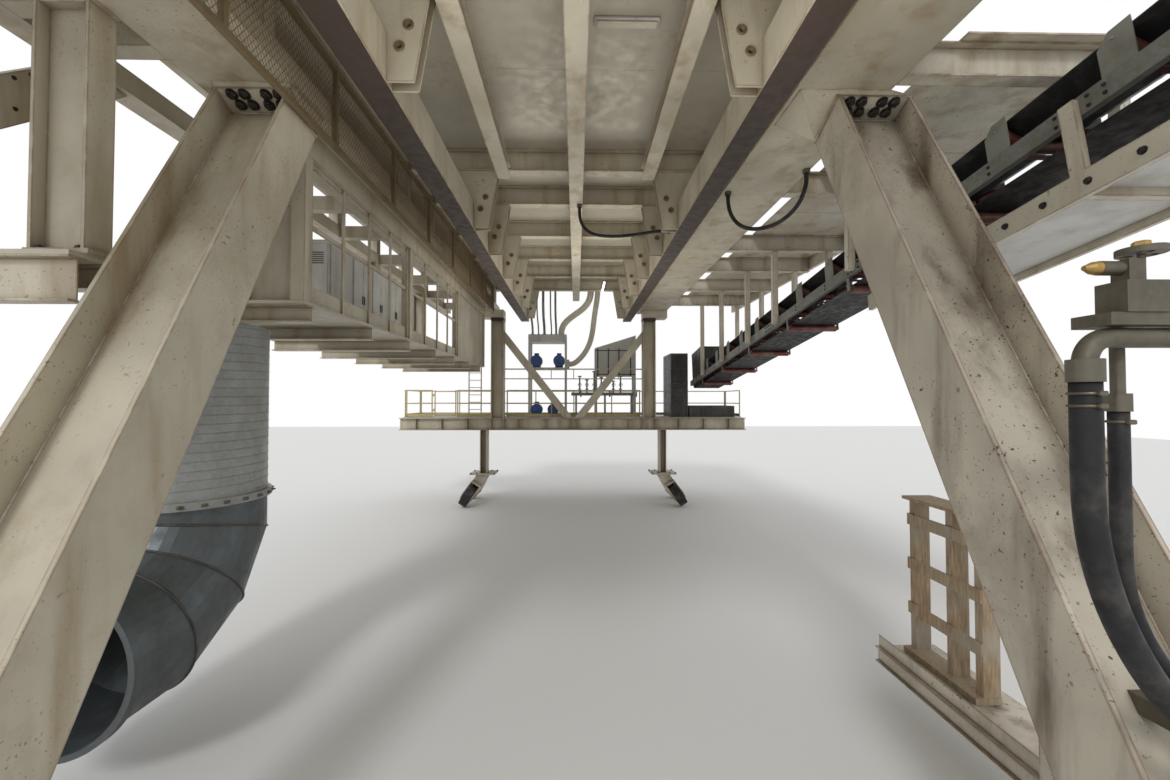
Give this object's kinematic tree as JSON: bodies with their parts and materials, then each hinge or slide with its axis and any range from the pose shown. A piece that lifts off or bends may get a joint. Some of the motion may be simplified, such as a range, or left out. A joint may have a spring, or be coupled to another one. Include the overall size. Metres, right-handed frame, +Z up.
{
  "type": "tunnel boring machine backup gantry",
  "caption": "Wheeled portal gantry that trails a large tunnel boring machine: raked legs, deck, windowed gallery, crane runways, belt conveyor and air duct.",
  "frame": {"origin": "under the middle of the gantry, on the surface that its wheels stand on", "axes": "+X to the right, +Y forward along the tunnel, +Z up"},
  "size_m": [13.7, 21, 9.8964],
  "materials": {
    "cream_paint": "cream machine enamel, weathered, with rust at the edges",
    "floor_plate": "trodden chequer plate",
    "yellow_paint": "yellow guard rail enamel, chipped",
    "tyre": "solid tyre on a steel hub",
    "mesh_wire": "woven wire mesh with brown dust",
    "lamp_white": "white lamp diffuser",
    "galvanised": "dull galvanised steel",
    "belt_rubber": "black conveyor belt",
    "dark_red": "dark red roller paint with dust",
    "black_paint": "black hopper paint",
    "duct_sheet": "galvanised sheet with dirt",
    "blue_paint": "blue pump enamel",
    "hose_cream": "cream hose cover",
    "steel_fittings": "plated pipe fittings",
    "hose_rubber": "black hose rubber",
    "timber": "rough site timber"
  },
  "bodies": {
    "root": {"girder_left": "cream_paint", "girder_left_posts": "cream_paint", "girder_right": "cream_paint", "outrigger_left": "cream_paint", "outrigger_ties": "cream_paint", "leg_heads": "cream_paint", "leg_rear_left": "cream_paint", "leg_rear_right": "cream_paint", "portal_posts": "cream_paint", "portal_brace": "cream_paint", "platform_beams": "cream_paint", "platform_floor": "floor_plate", "platform_rails": "yellow_paint", "bogies": "cream_paint", "runways": "cream_paint", "runway_hangers": "cream_paint", "cross_beams": "cream_paint", "deck_stringers": "cream_paint", "deck_panels": "floor_plate", "deck_rails": "yellow_paint", "mesh_guard_frame": "cream_paint", "mesh_guard_panels": "mesh_wire", "gallery_floor": "floor_plate", "gallery_beams": "cream_paint", "gallery_fascia": "cream_paint", "gallery_posts": "cream_paint", "gallery_windows": "cream_paint", "gallery_end_wall": "cream_paint", "cabinets": "cream_paint", "light_tubes": "lamp_white", "conveyor_stringers": "galvanised", "conveyor_belt": "belt_rubber", "conveyor_idlers": "dark_red", "conveyor_arms": "cream_paint", "conveyor_hangers": "cream_paint", "conveyor_tail": "black_paint", "air_duct": "duct_sheet", "duct_elbow": "duct_sheet", "tow_lugs": "cream_paint", "ladder": "cream_paint", "pump_units": "blue_paint", "supply_ducts": "hose_cream", "hose_fittings": "steel_fittings", "hose_thick": "hose_rubber", "hose_thin": "hose_rubber", "cable_loop_a": "hose_rubber", "cable_loop_b": "hose_rubber", "side_landing": "cream_paint", "landing_timber": "timber"},
    "wheel_rear_left_a": {"wheel_1": "tyre"},
    "wheel_rear_left_b": {"wheel_2": "tyre"},
    "wheel_rear_right_a": {"wheel_3": "tyre"},
    "wheel_rear_right_b": {"wheel_4": "tyre"},
    "wheel_front_left_a": {"wheel_5": "tyre"},
    "wheel_front_left_b": {"wheel_6": "tyre"},
    "wheel_front_right_a": {"wheel_7": "tyre"},
    "wheel_front_right_b": {"wheel_8": "tyre"},
    "platform_gate": {"platform_gate": "yellow_paint"},
    "gallery_door": {"gallery_door": "cream_paint"}
  },
  "joints": [
    {"name": "spin_rear_left_a", "type": "hinge", "parent": "root", "child": "wheel_rear_left_a", "pos_m": [-4.00798, -8.93109, 0.40627], "axis": [0.8387, 0, -0.5446], "continuous": true},
    {"name": "spin_rear_left_b", "type": "hinge", "parent": "root", "child": "wheel_rear_left_b", "pos_m": [-4.00798, -7.43109, 0.40627], "axis": [0.8387, 0, -0.5446], "continuous": true},
    {"name": "spin_rear_right_a", "type": "hinge", "parent": "root", "child": "wheel_rear_right_a", "pos_m": [4.00798, -8.93109, 0.40627], "axis": [0.8387, 0, 0.5446], "continuous": true},
    {"name": "spin_rear_right_b", "type": "hinge", "parent": "root", "child": "wheel_rear_right_b", "pos_m": [4.00798, -7.43109, 0.40627], "axis": [0.8387, 0, 0.5446], "continuous": true},
    {"name": "spin_front_left_a", "type": "hinge", "parent": "root", "child": "wheel_front_left_a", "pos_m": [-4.00798, 7.25, 0.40627], "axis": [0.8387, 0, -0.5446], "continuous": true},
    {"name": "spin_front_left_b", "type": "hinge", "parent": "root", "child": "wheel_front_left_b", "pos_m": [-4.00798, 8.75, 0.40627], "axis": [0.8387, 0, -0.5446], "continuous": true},
    {"name": "spin_front_right_a", "type": "hinge", "parent": "root", "child": "wheel_front_right_a", "pos_m": [4.00798, 7.25, 0.40627], "axis": [0.8387, 0, 0.5446], "continuous": true},
    {"name": "spin_front_right_b", "type": "hinge", "parent": "root", "child": "wheel_front_right_b", "pos_m": [4.00798, 8.75, 0.40627], "axis": [0.8387, 0, 0.5446], "continuous": true},
    {"name": "gate_swing", "type": "hinge", "parent": "root", "child": "platform_gate", "pos_m": [-5.635, 8.3, 3.36], "axis": [0, 0, 1], "range_deg": [0, 100]},
    {"name": "door_swing", "type": "hinge", "parent": "root", "child": "gallery_door", "pos_m": [-4.99, -4.366, 5.34], "axis": [0, 0, 1], "range_deg": [-100, 0]}
  ]
}
